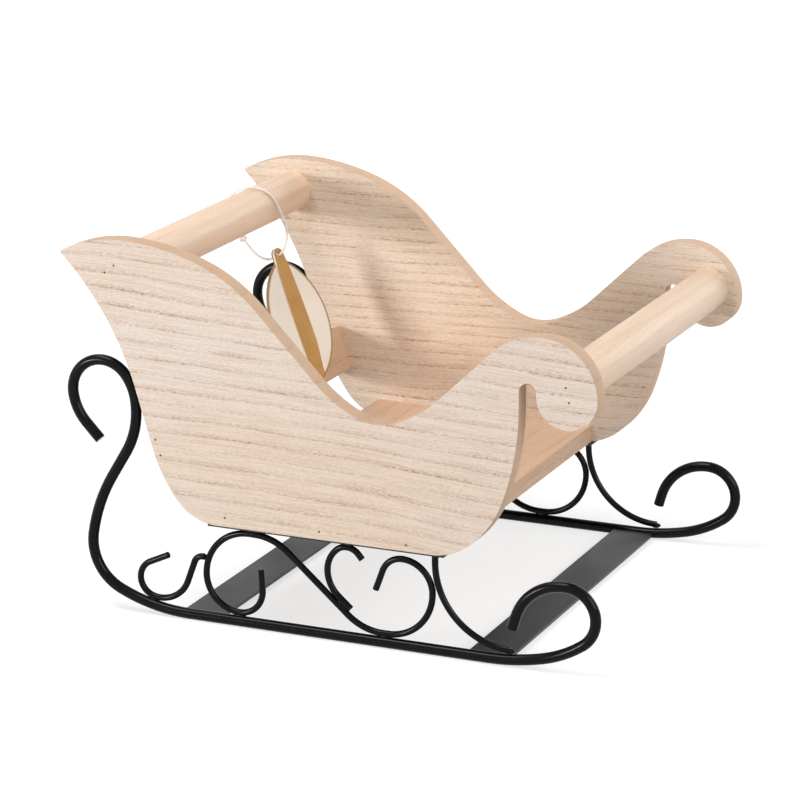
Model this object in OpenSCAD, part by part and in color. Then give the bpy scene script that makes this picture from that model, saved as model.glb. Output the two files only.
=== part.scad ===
// Decorative wooden sleigh: two shaped side panels joined by dowels, a slat and a floor board,
// carried on a pair of bent-wire runner frames with scrollwork.
// +X points to the front of the sleigh, +Z up, and the runners stand on the plane z = 0.

/* [Body] */
// Width over the outer faces of the side panels
body_w = 200; // [160:1:260]
// Thickness of the side panels
panel_t = 9; // [6:0.5:14]
// Height of the panels' bottom edge above the ground
deck_h = 47.5; // [42:0.5:60]
// Length of the floor board
floor_l = 114; // [90:1:118]
// Thickness of the floor board
floor_t = 9; // [6:0.5:14]
// Floor board's middle, ahead of the frame's middle
floor_ahead = -1; // [-3:0.5:1]

/* [Panel outline] */
// Start of the toe's curve, behind the floor board's front end
toe_back = 4.7; // [3:0.1:8]
// Radii of the toe, from the bottom edge up to the notch
toe_r = [28.5, 50, 124]; // [20:0.5:140]
// Width of the notch behind the head
notch_w = 8; // [5:0.5:12]
// Straight side of the notch, on the toe's side
notch_l = 9; // [4:0.5:20]
// Short straight between the notch and the head
head_l = 1; // [0.5:0.5:3]
// Radius under the round head
head_r = 14; // [12:0.5:20]
// Radius over the round head
crown_r = 26; // [18:0.5:32]
// Radius from the crown into the seat's slope
brow_r = 33; // [26:1:60]
// Straight slope in front of the seat's dip
brow_l = 33.5; // [20:0.5:40]
// Radius at the bottom of the dip
dip_r = 24; // [16:1:40]
// Radius on either side of the dip
dip_side_r = 65; // [45:1:90]
// Straight slope behind the dip
back_l = 41; // [30:1:50]
// Radii of the arched back, from the slope to the tail tip
back_r = [76, 122, 66]; // [50:1:160]
// Radius that blunts the tail tip
tip_r = 1; // [0.5:0.5:3]
// Radius of the hollow rear edge under the tail
rear_r = 138; // [100:1:180]
// Radii of the heel, from the rear edge to the bottom edge
heel_r = [70, 25]; // [15:1:100]

/* [Crossbars] */
// Diameter of the two round crossbars
dowel_d = 20; // [14:0.5:24]
// Rear dowel's axis, forward of the tail tip
rear_dowel_x = 25.5; // [20:0.5:32]
// Rear dowel's axis, below the tail tip
rear_dowel_drop = 9.2; // [6:0.1:10]
// Front dowel's axis, behind the front of the head
front_dowel_x = 14.4; // [12:0.1:18]
// Front dowel's axis, above the middle of the head's round front
front_dowel_rise = 4.7; // [0:0.1:6]
// Height of the back slat, along the rear edge
slat_h = 22; // [14:1:28]
// Thickness of the back slat
slat_t = 9; // [6:0.5:14]
// Slat's middle, up the straight of the rear edge from the heel
slat_up = -1; // [-2:0.5:6]
// Set-back of the slat from the panels' rear edge
slat_inset = 1; // [1:0.5:3]

/* [Wire frames] */
// Diameter of the runner wire
runner_d = 5; // [4:0.5:7]
// Diameter of the scroll wire
scroll_d = 3; // [2:0.5:4]
// Gap that a weld bead bridges between two wires
weld_gap = 0.15; // [0.05:0.05:0.4]
// Straight of the runner ahead of the frame's middle
runner_front_l = 78; // [70:1:90]
// Gap between the runner's rear bend and the panel edge that it lies against
curl_gap = 0.3; // [0.2:0.1:1]
// Radius of the runner's first rise at the front
runner_rise_r = 105; // [80:1:140]
// Radius between the front's first rise and its curl
front_rise_r = 54; // [44:1:64]
// Radius of the front curl
front_curl_r = 14.2; // [12:0.2:17]
// Radius at which the front curl opens to its tip
front_open_r = 23.5; // [20:0.5:27]
// Straight tip of the front curl
front_tip_l = 5.5; // [3:0.5:8]
// Radius of the runner's first rise at the rear
heel_rise_r = 86; // [70:1:110]
// Radius of the rear bend, up from the ground
heel_bend_r = 23.5; // [20:0.5:30]
// Radius at which the rear bend leaves for the panel edge
heel_flat_r = 80; // [70:1:90]
// Straight of the wire on its way to the panel edge
rear_rise_l = 14.5; // [12:0.5:17]
// Radius at which it turns in along the panel edge
rear_turn_r = 38.5; // [34:0.5:43]
// Radius of the rear bend that lies against the panel edge
lean_r = 24; // [20:1:32]
// Radius of the rear curl
rear_curl_r = 15.2; // [12:0.2:17]
// Radius at which the rear curl opens to its tip
rear_open_r = 24; // [20:0.5:28]
// Straight tip of the rear curl
rear_tip_l = 10; // [6:0.5:12]

/* [Scrolls] */
// Middle of the large S-scroll, behind the frame's middle
s_back = 4.8; // [2:0.2:8]
// Slope of the S-scroll's middle stroke
s_slope = 41; // [36:1:48]
// Radius between the middle stroke and the level top or bottom
s_shoulder_r = 26; // [20:1:32]
// Short level run at the S-scroll's top and bottom
s_level = 2.6; // [1:0.2:5]
// Radius of the S-scroll's outer sides
s_side_r = 21.5; // [18:0.5:24]
// How far the S-scroll's front end stays below the flat bar
s_front_drop = 2; // [1:0.2:4]
// Radius of the S-scroll's rear tip
s_rear_tip_r = 11.5; // [10:0.5:13]
// Radius of the S-scroll's front tip
s_front_tip_r = 10; // [8.5:0.5:11.5]
// Straight end of the S-scroll's tips
s_tip_l = 10; // [6:0.5:11]
// Radius of the front leg
leg_r = 36; // [30:1:38]
// Radius of the tail scroll's bowl
bowl_r = 15; // [12:0.5:15.5]
// Radius of the tail scroll's free end
tail_curl_r = 8.7; // [7:0.1:11]
// Straight tip of the tail scroll
tail_tip_l = 10.5; // [6:0.5:12]
// Middle of the tail scroll's bowl, behind the S-scroll's outer side
bowl_back = 23.7; // [23.3:0.1:25]
// Height at which the tail scroll's foot meets the S-scroll
foot_h = 31; // [26:0.5:36]
// Radius of the bend at the tail scroll's foot
foot_r = 4.5; // [4.5:0.1:5]
// Straight stem of the hook scroll, along the S-scroll's stroke
hook_stem = 8; // [6:0.5:10]
// Radius of the hook scroll's way up
hook_rise_r = 16; // [14:0.5:18]
// Radius between the hook scroll's way up and its top
hook_shoulder_r = 13; // [11:0.5:15]
// Radius of the hook scroll's top
hook_top_r = 7.5; // [6.5:0.5:9]
// Radius of the hook scroll's end
hook_end_r = 7.5; // [6.5:0.5:9]
// Straight tip of the hook scroll
hook_tip_l = 3; // [1:0.5:4]

/* [Bars and straps] */
// Thickness of the flat bar under each side panel
bar_t = 1; // [0.5:0.1:2]
// Width of the flat bar under each side panel
bar_w = 12; // [10:0.5:16]
// Set-back of the flat bar from the panel's outer face
bar_inset = 1; // [0.5:0.1:1.5]
// Reach of the flat bar past the floor board's ends
bar_over = 1; // [0:0.5:3]
// Width of the cross straps between the runners
strap_w = 20; // [14:1:26]
// Thickness of the cross straps
strap_t = 1.5; // [1:0.1:3]
// Middle of the rear strap, behind the frame's middle
rear_strap_x = 63.5; // [54:0.5:66]
// Middle of the front strap, ahead of the frame's middle
front_strap_x = 77; // [66:0.5:80]

/* [Hang tag] */
// Height of the oval card
tag_h = 61.5; // [50:0.5:63]
// Width of the oval card
tag_w = 41.5; // [34:0.5:42]
// Radius of the card's round ends
tag_end_r = 7; // [5:0.5:9]
// Thickness of the card
tag_t = 1; // [0.5:0.1:2]
// Width of the tab above the oval
tab_w = 7; // [6:0.5:9]
// Height of the tab's round end above the oval's top
tab_rise = 6; // [4:0.5:8]
// Diameter of the string's hole
tag_hole_d = 3; // [2.5:0.5:4]
// Lean of the card from upright, in degrees
tag_lean = 24.5; // [23:0.5:26]
// Turn of the card to the sleigh's right side, in degrees
tag_turn = 14; // [12:0.5:14.5]
// Card's lower end, ahead of the slat's top edge
tag_ahead = 11.4; // [11.3:0.1:13]
// Card's lower end, below the slat's top edge
tag_below = 14.3; // [13.5:0.1:14.5]
// Card's lower end, to the left of the sleigh's centre plane
tag_y = 42.8; // [40:0.1:45]
// Diameter of the string
string_d = 1.3; // [1:0.1:1.6]

/* [Hidden] */
$fn = 96;
WOOD = "BurlyWood";
DOWEL = "Wheat";
IRON = "DimGray";
CARD = "Beige";
STRING = "MistyRose";

// A path in the XZ plane is a start [x, z, heading] and a table of bends.
// Columns of a bend table: straight run, radius of the bend after it, its turn (+ to the left).
STRAIGHT = 0;
RADIUS = 1;
TURN = 2;
function after_run(s, l) = [s[0] + l * cos(s[2]), s[1] + l * sin(s[2]), s[2]];
function bend_centre(s, b) =
  let (side = sign(b[TURN]) * b[RADIUS]) [s[0] - side * sin(s[2]), s[1] + side * cos(s[2])];
function after_bend(s, b) =
  let (c = bend_centre(s, b), h = s[2] + b[TURN], side = sign(b[TURN]) * b[RADIUS])
  [c[0] + side * sin(h), c[1] - side * cos(h), h];
// States along a path: each row gives the state before its bend and the state after it.
function walk(s, bends, i = 0) =
  i == len(bends) ? [] :
  let (a = after_run(s, bends[i][STRAIGHT]), b = after_bend(a, bends[i]))
  concat([[a, b]], walk(b, bends, i + 1));
function path_end(s, bends) = let (w = walk(s, bends)) w[len(w) - 1][1];
// Seams of a wire: how far the ring stands proud, its length, and the cut between the runs inside it
seam_proud = 0.03;
seam_l = 0.6;
seam_cut = 0.1;
// Round stretches of an outline: depth below the edge, run over a flatter neighbour, and added fullness
stretch_depth = 2;
stretch_lap = 1.2;
fullness = 0.4;
max_full = 0.02;
function polar(r, a) = [r * cos(a), r * sin(a)];
// Crossing of two circles, on the left of the way from the first centre to the second
function circles_meet(c1, r1, c2, r2) =
  let (v = c2 - c1, d = norm(v), a = (d * d + r1 * r1 - r2 * r2) / (2 * d), h = sqrt(r1 * r1 - a * a))
  c1 + a * v / d + h * [-v[1], v[0]] / d;

// Heights
bar_under = deck_h - max_full - bar_t;
wire_top = bar_under - weld_gap - scroll_d / 2;
runner_z = runner_d / 2 + seam_proud;
wire_low = runner_z + runner_d / 2 + weld_gap + scroll_d / 2;
wire_mid = (wire_top + wire_low) / 2;
// Planes across the width
inner_w = body_w - 2 * panel_t;
frame_y = body_w / 2 - runner_d / 2 - seam_proud;

// Panel outline, from the front of the bottom edge round the toe, notch, head, dip, back and tail
floor_front = floor_l / 2 + floor_ahead;
toe_start = floor_front - toe_back;
panel_start = [toe_start, deck_h, 0];
over_bends = [
  [0, toe_r[0], 40], [0, toe_r[1], 30], [0, toe_r[2], 20],
  [notch_l, notch_w / 2, -180],
  [head_l, head_r, 180], [0, crown_r, 90], [0, brow_r, 44],
  [brow_l, dip_side_r, -22], [0, dip_r, -46], [0, dip_side_r, -22],
  [back_l, back_r[0], 26], [0, back_r[1], 16], [0, back_r[2], 31],
  [0, tip_r, 109]
];
over = walk(panel_start, over_bends);
HEAD = 4;
TAIL = 12;
tail_tip = over[TAIL][1];
head_front = over[HEAD][1];
// The rear edge's straight makes the outline come down to the bottom edge.
rear_turn = -29;
heel_turn = [21, 52];
hollow_end = path_end(over[len(over) - 1][1], [[0, rear_r, rear_turn]]);
heel_drop = -path_end([0, 0, hollow_end[2]], [[0, heel_r[0], heel_turn[0]], [0, heel_r[1], heel_turn[1]]])[1];
rear_l = (hollow_end[1] - deck_h - heel_drop) / -sin(hollow_end[2]);
panel_bends = concat(over_bends, [
  [0, rear_r, rear_turn], [rear_l, heel_r[0], heel_turn[0]], [0, heel_r[1], heel_turn[1]]
]);
heel_start = after_run(hollow_end, rear_l);

// Crossbars
rear_dowel_at = [tail_tip[0] + rear_dowel_x, tail_tip[1] - rear_dowel_drop];
front_dowel_at = [head_front[0] - front_dowel_x, head_front[1] + front_dowel_rise];
slat_at = after_run(heel_start, -slat_up);
// Top edge of the slat's front face, on which the card leans
slat_edge = [slat_at[0], slat_at[1]] - polar(slat_h / 2, slat_at[2])
  + polar(slat_inset + slat_t, slat_at[2] + 90);

// Runner, forward and rearward from the middle of the frame
runner_start = [0, runner_z];
front_bends = [
  [runner_front_l, runner_rise_r, 14], [0, front_rise_r, 22], [0, front_curl_r, 140],
  [0, front_open_r, 78], [front_tip_l, 0, 0]
];
function rear_bends_from(l) = [
  [l, heel_rise_r, -24], [0, heel_bend_r, -75], [0, heel_flat_r, -22],
  [rear_rise_l, rear_turn_r, 39], [0, lean_r, 28], [0, rear_curl_r, 152],
  [0, rear_open_r, 36], [rear_tip_l, 0, 0]
];
// The straight behind the middle brings the rear bend up against the panels' rear edge.
LEAN = 4;
edge_normal = polar(1, hollow_end[2] + 90);
lean_state = walk([0, runner_start[1], 180], rear_bends_from(0))[LEAN][0];
lean_centre = bend_centre(lean_state, rear_bends_from(0)[LEAN]);
lean_past = (lean_centre - [hollow_end[0], hollow_end[1]]) * edge_normal + lean_r + runner_d / 2 + curl_gap;
runner_rear_l = lean_past / edge_normal[0];
rear_bends = rear_bends_from(runner_rear_l);
runner_front = walk([runner_start[0], runner_start[1], 0], front_bends);
FRONT_CURL = 2;
curl_centre = bend_centre(runner_front[FRONT_CURL][0], front_bends[FRONT_CURL]);
reach_front = curl_centre[0] + front_curl_r + runner_d / 2;
reach_rear = bend_centre(over[TAIL][1], over_bends[TAIL + 1])[0] - tip_r;

// S-scroll: two halves from the middle of its slanting stroke
s_mid = [-s_back, wire_mid];
s_rise = wire_top - wire_mid;
s_half = (s_rise - s_shoulder_r * (1 - cos(s_slope))) / sin(s_slope);
s_low_r = wire_top - wire_low - s_side_r;
s_rear_bends = [
  [s_half, s_shoulder_r, s_slope], [s_level, s_side_r, 90], [0, s_low_r, 90],
  [0, s_rear_tip_r, 94], [s_tip_l, 0, 0]
];
s_front_bends = [
  [s_half, s_shoulder_r, s_slope], [s_level, s_side_r, 90], [0, s_low_r - s_front_drop, 90],
  [0, s_front_tip_r, 70], [s_tip_l, 0, 0]
];
s_rear = walk([s_mid[0], s_mid[1], 180 - s_slope], s_rear_bends);
s_front = walk([s_mid[0], s_mid[1], -s_slope], s_front_bends);
SIDE = 1;
s_rear_side = bend_centre(s_rear[SIDE][0], s_rear_bends[SIDE]);
s_front_side = bend_centre(s_front[SIDE][0], s_front_bends[SIDE]);

// Tail scroll: its bowl lies in the runner's rear rise, its foot meets the S-scroll
wire_step = runner_d / 2 + scroll_d / 2 + weld_gap;
scroll_step = scroll_d + weld_gap;
rise_centre = [-runner_rear_l, runner_start[1] + heel_rise_r];
bowl_x = s_rear_side[0] - s_side_r - bowl_back;
bowl_at = asin((rise_centre[0] - bowl_x) / (heel_rise_r - wire_step - bowl_r));
bowl_low = rise_centre + polar(heel_rise_r - wire_step, 270 - bowl_at);
leg_heading = 70;
bowl_up = path_end([bowl_low[0], bowl_low[1], -bowl_at], [[0, bowl_r, bowl_at + leg_heading]]);
foot_run = (foot_h - bowl_up[1] - foot_r * (1 - cos(leg_heading))) / sin(leg_heading);
foot_bend = path_end(bowl_up, [[foot_run, foot_r, -leg_heading]]);
foot_under = foot_h - scroll_d / 2;
loop_x = s_rear_side[0] - sqrt(pow(s_side_r + scroll_d / 2, 2) - pow(foot_under - s_rear_side[1], 2));
foot_l = loop_x - weld_gap - foot_bend[0];
tail_fore_bends = [[0, bowl_r, bowl_at + leg_heading], [foot_run, foot_r, -leg_heading], [foot_l, 0, 0]];
tail_aft_bends = [[0, tail_curl_r, -(155 - bowl_at)], [tail_tip_l, 0, 0]];

// Hook scroll: its stem lies along the S-scroll's stroke, its top touches the flat bar
hook_up = [[hook_stem, hook_rise_r, -(90 - s_slope)], [0, hook_shoulder_r, -50], [0, hook_top_r, -40]];
hook_bends = concat(hook_up, [[0, hook_end_r, -50], [hook_tip_l, 0, 0]]);
hook_rise = path_end([0, 0, 180 - s_slope], hook_up)[1];
hook_foot_z = wire_top - hook_rise;
stroke_up = [sin(s_slope), cos(s_slope)] * scroll_step;
hook_along = (s_mid[1] + stroke_up[1] - hook_foot_z) / sin(s_slope);
hook_foot = s_mid + stroke_up + hook_along * [cos(s_slope), -sin(s_slope)];

// Front leg: touches the S-scroll's front side and runs out on the runner's front rise
front_rise_centre = [runner_front_l, runner_start[1] + runner_rise_r];
leg_centre = circles_meet(
  front_rise_centre, runner_rise_r - wire_step - leg_r, s_front_side, s_side_r + leg_r + scroll_step);
leg_run = bar_under - weld_gap - leg_centre[1];

// Flat bars and straps
bar_l = floor_l + 2 * bar_over;
strap_l = 2 * (frame_y - runner_d / 2 - weld_gap);

// Hang tag: the card hangs with one side against the slat; the string's points are chosen along its loop
card_low = [slat_edge[0] + tag_ahead, tag_y, slat_edge[1] - tag_below];
STRING_SIDES = 8;
string_route = [
  [-92.97, 49.17, 136.16], [-91.9, 48.9, 136.7], [-90.4, 49.8, 138.6], [-89.6, 51.2, 141.6],
  [-89.3, 52.4, 146], [-90.3, 52.2, 152], [-92.2, 51.3, 158], [-94, 49.5, 163],
  [-97.2, 47.3, 167.6], [-101.2, 45.2, 169.9], [-105.3, 42.5, 170.4], [-110, 40.8, 168.9],
  [-114, 40, 165], [-115.6, 40.6, 159.5], [-115, 42.8, 153.8], [-113, 45.2, 148.4],
  [-110.2, 47, 143.6], [-106.5, 47.4, 139], [-102.5, 47.6, 135.6], [-99, 48.4, 134],
  [-96.6, 49.4, 134.1], [-94.7, 49.6, 135.2], [-93.23, 49.23, 136.04]
];

// Everything is drawn about the middle of the overall length.
overall_mid = (reach_front + reach_rear) / 2;
module in_frame() {
  translate([-overall_mid, 0, 0]) children();
}
// Lifts a drawing in the XY plane to the XZ plane at the given y
module upright(y) {
  translate([0, y, 0]) rotate([90, 0, 0]) children();
}

// Round stretch of an outline: the part of a disc between the ends of a bend and a little within.
// A tighter bend is slightly fuller and runs on over its flatter neighbours, so that they cross cleanly.
module round_stretch(s, b, run_on) {
  r = b[RADIUS];
  full_r = r + min(fullness / r, max_full);
  lap = min(stretch_lap, r / 2) / r * 180 / PI;
  first = run_on[0] ? lap : 0;
  last = abs(b[TURN]) + (run_on[1] ? lap : 0);
  inner = r - min(r / 2, stretch_depth);
  outer = full_r / cos((first + last) / 4) * 1.1;
  side = sign(b[TURN]);
  translate(bend_centre(s, b)) rotate(s[2] - side * 90) scale([1, side]) intersection() {
    circle(full_r);
    polygon([
      polar(inner, -first), polar(outer, -first), polar(outer, (last - first) / 2),
      polar(outer, last), polar(inner, last)
    ]);
  }
}

// Closed outline of straights and bends; left turns bulge, right turns cut in
module outline(s, bends) {
  states = walk(s, bends);
  n = len(bends);
  difference() {
    union() {
      polygon([for (w = states) each [[w[0][0], w[0][1]], [w[1][0], w[1][1]]]]);
      for (i = [0:n - 1]) if (bends[i][TURN] > 0) round_stretch(states[i][0], bends[i], run_on(bends, i));
    }
    for (i = [0:n - 1]) if (bends[i][TURN] < 0) round_stretch(states[i][0], bends[i], run_on(bends, i));
  }
}
// Whether a bend runs on over what is before and after it: all but a tighter bend that turns the same way
function run_on(bends, i) = [
  i == 0 || bends[i][STRAIGHT] > 0 || !tighter(bends[i - 1], bends[i]),
  i == len(bends) - 1 || bends[i + 1][STRAIGHT] > 0 || !tighter(bends[i + 1], bends[i])
];
function tighter(a, b) = a[TURN] * b[TURN] > 0 && a[RADIUS] < b[RADIUS];

// Ring round the place where two runs of a wire meet, which makes them one piece
module wire_seam(d, s) {
  translate([s[0], s[1], 0]) rotate([0, 0, s[2]]) rotate([0, 90, 0])
    cylinder(d = d + 2 * seam_proud, h = seam_l, center = true);
}
module wire_run(d, s, l) {
  translate([s[0], s[1], 0]) rotate([0, 0, s[2]]) rotate([0, 90, 0])
    translate([0, 0, seam_cut]) cylinder(d = d, h = l - 2 * seam_cut);
}
module wire_bend(d, s, b) {
  side = sign(b[TURN]);
  cut = side * seam_cut / b[RADIUS] * 180 / PI;
  translate(concat(bend_centre(s, b), 0)) rotate([0, 0, s[2] - side * 90 + cut])
    rotate_extrude(angle = b[TURN] - 2 * cut) translate([b[RADIUS], 0]) circle(d = d);
}
// Round wire along a path of straights and bends, in the XY plane; joined if it goes on before its start
module bent_wire(d, s, bends, joined = false) {
  states = walk(s, bends);
  for (i = [0:len(bends) - 1]) {
    from = i == 0 ? s : states[i - 1][1];
    b = bends[i];
    if (i > 0 || joined) wire_seam(d, from);
    if (b[STRAIGHT] > 0) wire_run(d, from, b[STRAIGHT]);
    if (b[STRAIGHT] > 0 && b[TURN] != 0) wire_seam(d, states[i][0]);
    if (b[TURN] != 0) wire_bend(d, states[i][0], b);
  }
}

module side_panel(y_outer, side) {
  color(WOOD) in_frame() upright(side < 0 ? y_outer + panel_t : y_outer)
    linear_extrude(panel_t) outline(panel_start, panel_bends);
}
module floor_board() {
  color(WOOD) in_frame() translate([floor_front - floor_l, -inner_w / 2, deck_h])
    cube([floor_l, inner_w, floor_t]);
}
module dowel(at) {
  color(DOWEL) in_frame() translate([at[0], inner_w / 2, at[1]]) rotate([90, 0, 0])
    cylinder(d = dowel_d, h = inner_w);
}
module rear_dowel() { dowel(rear_dowel_at); }
module front_dowel() { dowel(front_dowel_at); }
module back_slat() {
  color(WOOD) in_frame() upright(inner_w / 2) translate([slat_at[0], slat_at[1]]) rotate(slat_at[2])
    translate([-slat_h / 2, slat_inset]) linear_extrude(inner_w) square([slat_h, slat_t]);
}

module top_bar(side) {
  y_mid = side * (body_w / 2 - bar_inset - bar_w / 2);
  color(IRON) in_frame() translate([floor_ahead - bar_l / 2, y_mid - bar_w / 2, bar_under])
    cube([bar_l, bar_w, bar_t]);
}
module runner(side) {
  color(IRON) in_frame() upright(side * frame_y) {
    bent_wire(runner_d, [runner_start[0], runner_start[1], 0], front_bends, true);
    bent_wire(runner_d, [runner_start[0], runner_start[1], 180], rear_bends);
  }
}
module s_scroll(side) {
  color(IRON) in_frame() upright(side * frame_y) {
    bent_wire(scroll_d, [s_mid[0], s_mid[1], 180 - s_slope], s_rear_bends, true);
    bent_wire(scroll_d, [s_mid[0], s_mid[1], -s_slope], s_front_bends);
  }
}
module tail_scroll(side) {
  color(IRON) in_frame() upright(side * frame_y) {
    bent_wire(scroll_d, [bowl_low[0], bowl_low[1], -bowl_at], tail_fore_bends, true);
    bent_wire(scroll_d, [bowl_low[0], bowl_low[1], 180 - bowl_at], tail_aft_bends);
  }
}
module hook_scroll(side) {
  color(IRON) in_frame() upright(side * frame_y)
    bent_wire(scroll_d, [hook_foot[0], hook_foot[1], 180 - s_slope], hook_bends);
}
module front_leg(side) {
  top = [leg_centre[0] - leg_r, bar_under - weld_gap, -90];
  color(IRON) in_frame() upright(side * frame_y) bent_wire(scroll_d, top, [[leg_run, leg_r, 90]]);
}
module strap(x) {
  color(IRON) in_frame() translate([x - strap_w / 2, -strap_l / 2, runner_z - strap_t / 2])
    cube([strap_w, strap_l, strap_t]);
}
module rear_strap() { strap(-rear_strap_x); }
module front_strap() { strap(front_strap_x); }

module tag_card() {
  color(CARD) in_frame() translate(card_low) rotate([0, -tag_lean, -tag_turn])
    translate([tag_t / 2, 0, 0]) rotate([0, -90, 0]) linear_extrude(tag_t) card_shape();
}
// The card lies along +X from its lower end: an oval of four arcs, with the hole in its tab
module card_shape() {
  reach = tag_h / 2 - tag_end_r;
  side_r = (pow(reach, 2) + pow(tag_w / 2, 2) - pow(tag_end_r, 2)) / (tag_w - 2 * tag_end_r);
  tab_x = tag_h + tab_rise - tab_w / 2;
  difference() {
    union() {
      oval(tag_h / 2, reach, side_r);
      translate([tab_x, 0]) circle(d = tab_w);
      translate([tag_h / 2, -tab_w / 2]) square([tab_x - tag_h / 2, tab_w]);
    }
    translate([tab_x, 0]) circle(d = tag_hole_d);
  }
}
// Oval along X: the side arcs run to where the end arcs touch them
module oval(mid, reach, side_r) {
  drop = side_r - tag_w / 2;
  touch = polar(side_r, atan2(drop, reach));
  translate([mid, 0]) {
    intersection() {
      translate([0, -drop]) circle(side_r);
      translate([0, drop]) circle(side_r);
      square([2 * touch[0], tag_w], center = true);
    }
    for (end = [-1, 1]) translate([end * reach, 0]) circle(tag_end_r);
  }
}

// Tube of few sides along a smooth curve through the string's points
function unit(v) = v / norm(v);
function smooth(p, i, t) =
  let (n = len(p) - 1, a = p[max(i - 1, 0)], b = p[i], c = p[min(i + 1, n)], d = p[min(i + 2, n)])
  0.5 * (2 * b + (c - a) * t + (2 * a - 5 * b + 4 * c - d) * t * t + (3 * b - a - 3 * c + d) * t * t * t);
module tag_string() {
  path = concat([for (i = [0:len(string_route) - 2]) for (t = [0, 0.5]) smooth(string_route, i, t)],
    [string_route[len(string_route) - 1]]);
  n = len(path);
  ways = [for (i = [0:n - 1]) unit(path[min(i + 1, n - 1)] - path[max(i - 1, 0)])];
  rings = [
    for (i = [0:n - 1]) let (u = unit(cross(ways[i], [0.2, 1, 0.1])), v = cross(u, ways[i]))
      for (k = [0:STRING_SIDES - 1]) let (a = 360 * k / STRING_SIDES)
        path[i] + string_d / 2 * (cos(a) * u + sin(a) * v)
  ];
  ends = [[for (k = [0:STRING_SIDES - 1]) k], [for (k = [STRING_SIDES - 1:-1:0]) (n - 1) * STRING_SIDES + k]];
  walls = [
    for (i = [0:n - 2]) for (k = [0:STRING_SIDES - 1])
      let (a = i * STRING_SIDES, m = (k + 1) % STRING_SIDES, c = a + STRING_SIDES)
      each [[c + m, a + m, a + k], [c + k, c + m, a + k]]
  ];
  color(STRING) polyhedron(rings, concat(ends, walls));
}

RIGHT = -1;
LEFT = 1;
side_panel(RIGHT * body_w / 2, RIGHT);  // side_panel_right
side_panel(LEFT * body_w / 2, LEFT);  // side_panel_left
floor_board();
rear_dowel();
front_dowel();
back_slat();
top_bar(RIGHT);  // top_bar_right
top_bar(LEFT);  // top_bar_left
runner(RIGHT);  // runner_right
runner(LEFT);  // runner_left
s_scroll(RIGHT);  // s_scroll_right
s_scroll(LEFT);  // s_scroll_left
tail_scroll(RIGHT);  // tail_scroll_right
tail_scroll(LEFT);  // tail_scroll_left
hook_scroll(RIGHT);  // hook_scroll_right
hook_scroll(LEFT);  // hook_scroll_left
front_leg(RIGHT);  // front_leg_right
front_leg(LEFT);  // front_leg_left
rear_strap();
front_strap();
tag_card();
tag_string();
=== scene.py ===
"""Dressed scene of a decorative wooden sleigh that stands on bent-wire runners."""

import logging
import math
from dataclasses import dataclass
from enum import Enum
from typing import Any, Callable, Sequence

import bmesh
import bpy
from mathutils import Matrix, Vector

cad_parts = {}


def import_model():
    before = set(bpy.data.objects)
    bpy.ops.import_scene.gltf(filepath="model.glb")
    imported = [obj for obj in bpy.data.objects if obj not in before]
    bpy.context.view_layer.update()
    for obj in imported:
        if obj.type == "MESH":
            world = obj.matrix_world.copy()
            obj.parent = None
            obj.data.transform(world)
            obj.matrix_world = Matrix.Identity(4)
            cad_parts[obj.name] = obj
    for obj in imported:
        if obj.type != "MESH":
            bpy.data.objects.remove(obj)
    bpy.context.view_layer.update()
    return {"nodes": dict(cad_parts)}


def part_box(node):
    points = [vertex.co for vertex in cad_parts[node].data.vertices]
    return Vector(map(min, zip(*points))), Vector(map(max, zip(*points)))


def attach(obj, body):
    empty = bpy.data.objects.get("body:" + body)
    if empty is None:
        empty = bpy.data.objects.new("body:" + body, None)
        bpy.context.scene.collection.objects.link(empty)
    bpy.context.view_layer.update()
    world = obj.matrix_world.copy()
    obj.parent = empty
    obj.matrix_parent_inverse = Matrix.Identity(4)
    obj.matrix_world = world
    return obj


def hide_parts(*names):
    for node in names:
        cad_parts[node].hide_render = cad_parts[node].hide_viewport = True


frame: dict[str, Any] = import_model()

Tree = bpy.types.NodeTree
Socket = bpy.types.NodeSocket
Object = bpy.types.Object
Mesh = bmesh.types.BMesh

log = logging.getLogger("sleigh")
logging.basicConfig(level=logging.INFO, format="%(name)s: %(message)s")

MM = 0.001
WHITE = (1.0, 1.0, 1.0, 1.0)
# Typical of bare wood, card, cotton and a polyester coat.
SURFACE_IOR = 1.5
# Edges sharper than the angle are eased in steps, once points this close are joined.
EDGE_ANGLE_DEG = 40.0
EDGE_STEPS = 3
WELD_MM = 0.002


class Side(Enum):
    """Side of the sleigh, with the sign of its y."""

    RIGHT = -1
    LEFT = 1


class GrainAxis(Enum):
    """Axis that the wood fibres run along, with the turn about z that brings them to x."""

    ALONG = 0.0
    ACROSS = math.pi / 2


def linear(code: str) -> tuple[float, float, float, float]:
    """Turns an sRGB hex colour into linear values.

    Args:
        code: Colour as "#rrggbb".

    Returns:
        Linear red, green and blue, with an alpha of 1.
    """
    parts = [int(code[i : i + 2], 16) / 255 for i in (1, 3, 5)]
    # The numbers are those of the sRGB standard.
    red, green, blue = (c / 12.92 if c <= 0.04045 else ((c + 0.055) / 1.055) ** 2.4 for c in parts)
    return red, green, blue, 1.0


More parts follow.
